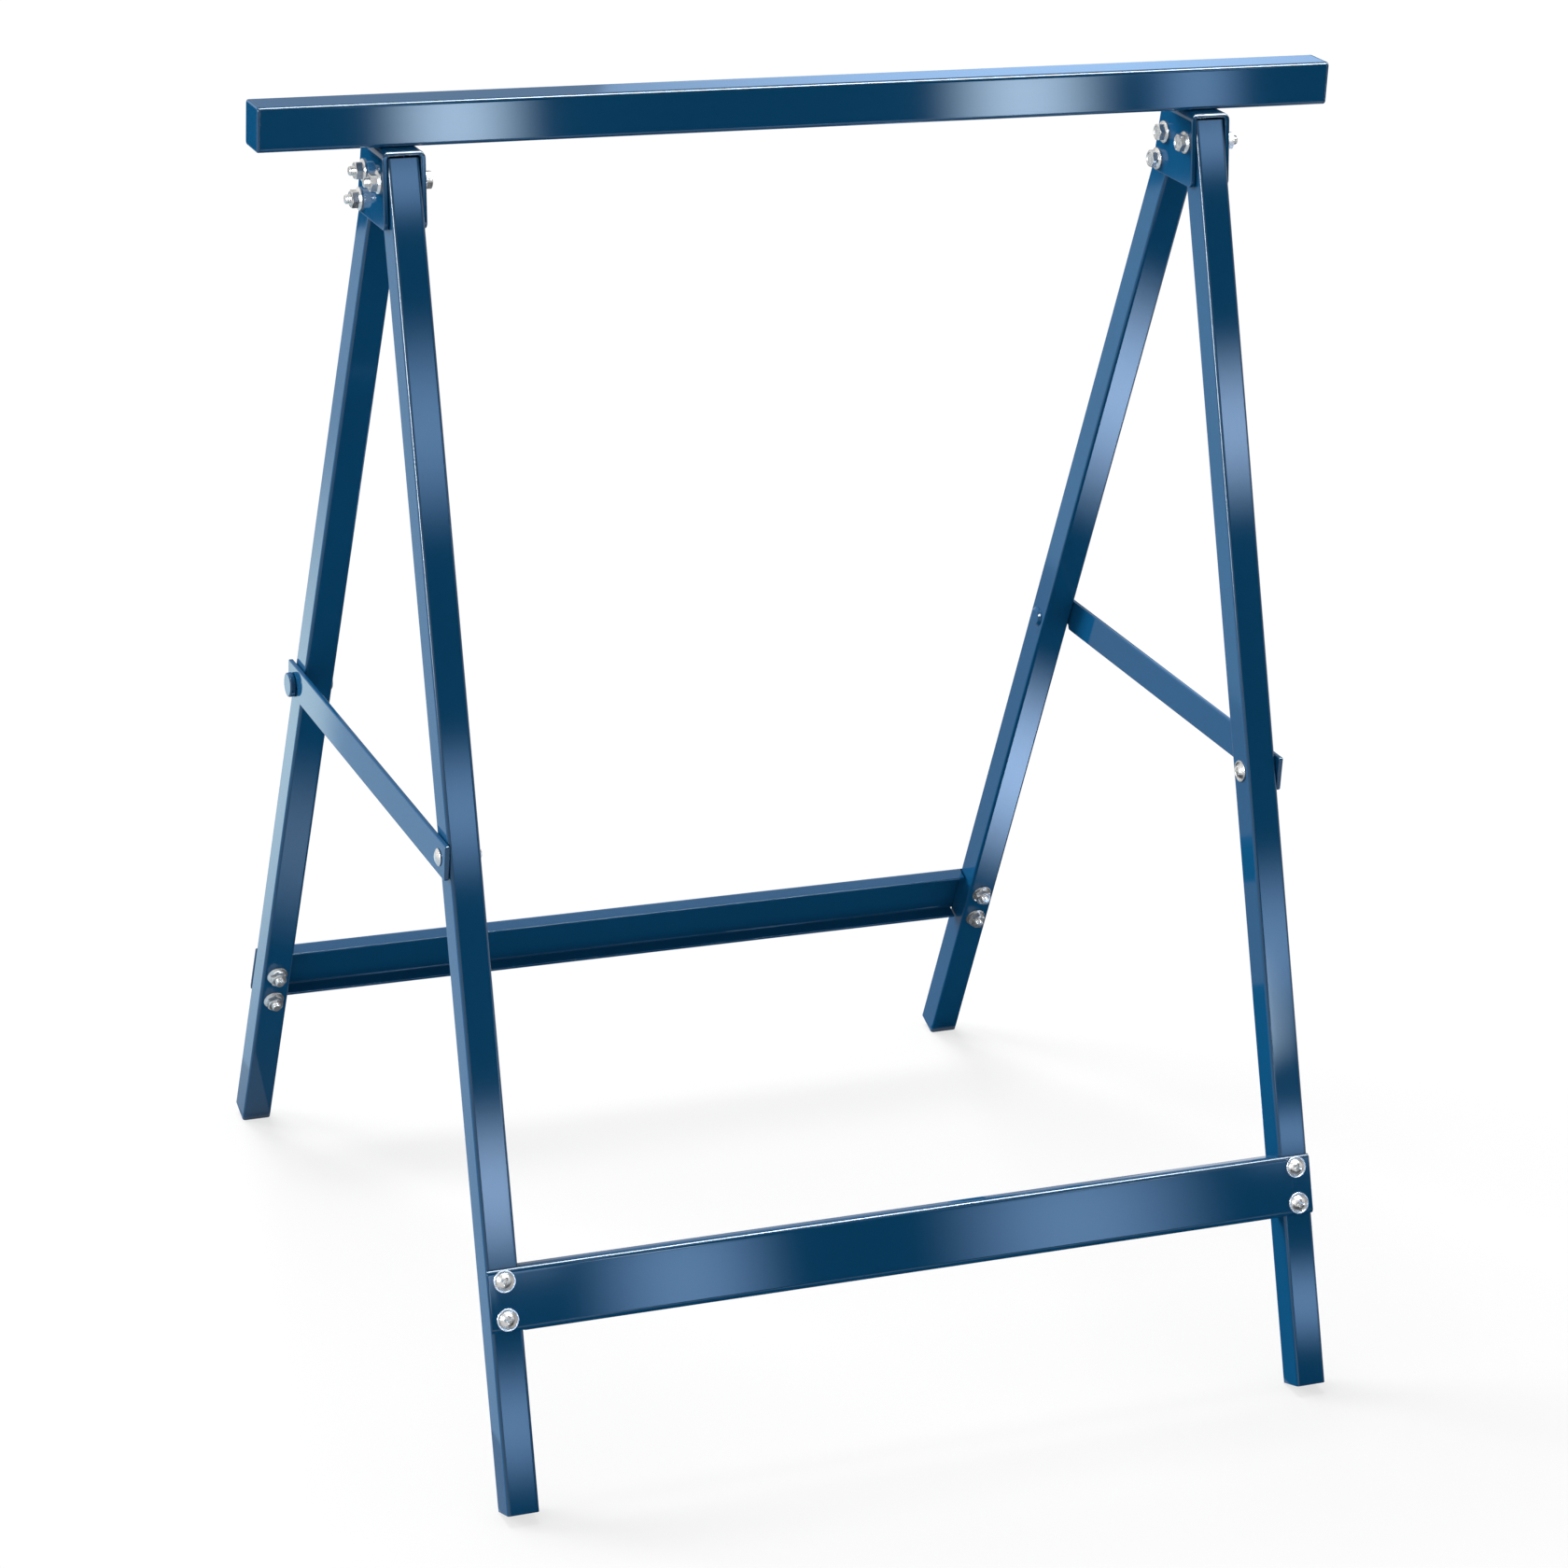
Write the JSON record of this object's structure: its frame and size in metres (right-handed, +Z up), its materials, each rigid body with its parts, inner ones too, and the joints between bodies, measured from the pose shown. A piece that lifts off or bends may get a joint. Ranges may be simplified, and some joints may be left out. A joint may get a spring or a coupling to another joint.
{
  "type": "builders trestle",
  "caption": "Folding steel builders trestle: a box tube beam on splayed tube legs with channel cross rails, hooked flat struts and bolted brackets, for carrying planks or a worktop.",
  "frame": {"origin": "on the floor, under the middle of the beam", "axes": "+X along the beam to the right, +Y from front to rear, +Z up; the pivoted legs are at the front"},
  "size_m": [0.7, 0.5924, 0.79],
  "materials": {
    "blue_paint": "glossy steel blue powder coat",
    "zinc_plate": "bright zinc plate"
  },
  "bodies": {
    "rear_frame": {"top_beam": "blue_paint", "left_end_plate": "blue_paint", "right_end_plate": "blue_paint", "left_bracket": "blue_paint", "right_bracket": "blue_paint", "rear_left_leg": "blue_paint", "rear_right_leg": "blue_paint", "rear_rail": "blue_paint", "left_strut_stud": "blue_paint", "right_strut_stud": "blue_paint", "left_pivot_bolt": "zinc_plate", "right_pivot_bolt": "zinc_plate", "left_pivot_nut": "zinc_plate", "right_pivot_nut": "zinc_plate", "left_leg_bolts": "zinc_plate", "right_leg_bolts": "zinc_plate", "left_leg_nuts": "zinc_plate", "right_leg_nuts": "zinc_plate", "rear_left_rail_screws": "zinc_plate", "rear_right_rail_screws": "zinc_plate", "rear_left_rail_nuts": "zinc_plate", "rear_right_rail_nuts": "zinc_plate"},
    "front_frame": {"front_left_leg": "blue_paint", "front_right_leg": "blue_paint", "front_rail": "blue_paint", "left_strut_screw": "zinc_plate", "right_strut_screw": "zinc_plate", "left_strut_nut": "zinc_plate", "right_strut_nut": "zinc_plate", "front_left_rail_screws": "zinc_plate", "front_right_rail_screws": "zinc_plate", "front_left_rail_nuts": "zinc_plate", "front_right_rail_nuts": "zinc_plate"},
    "left_strut": {"left_strut": "blue_paint"},
    "right_strut": {"right_strut": "blue_paint"}
  },
  "joints": [
    {"name": "fold", "type": "hinge", "parent": "rear_frame", "child": "front_frame", "pos_m": [0, -0.0145, 0.74349], "axis": [1, 0, 0], "range_deg": [0, 39]},
    {"name": "left_strut_swing", "type": "hinge", "parent": "front_frame", "child": "left_strut", "pos_m": [-0.2759, -0.15143, 0.37134], "axis": [1, 0, 0], "range_deg": [0, 70]},
    {"name": "right_strut_swing", "type": "hinge", "parent": "front_frame", "child": "right_strut", "pos_m": [0.2759, -0.15143, 0.37134], "axis": [1, 0, 0], "range_deg": [0, 70]}
  ],
  "couplings": [
    {"joint": "left_strut_swing", "follows": "fold", "ratio": 1.7897},
    {"joint": "right_strut_swing", "follows": "fold", "ratio": 1.7897}
  ]
}
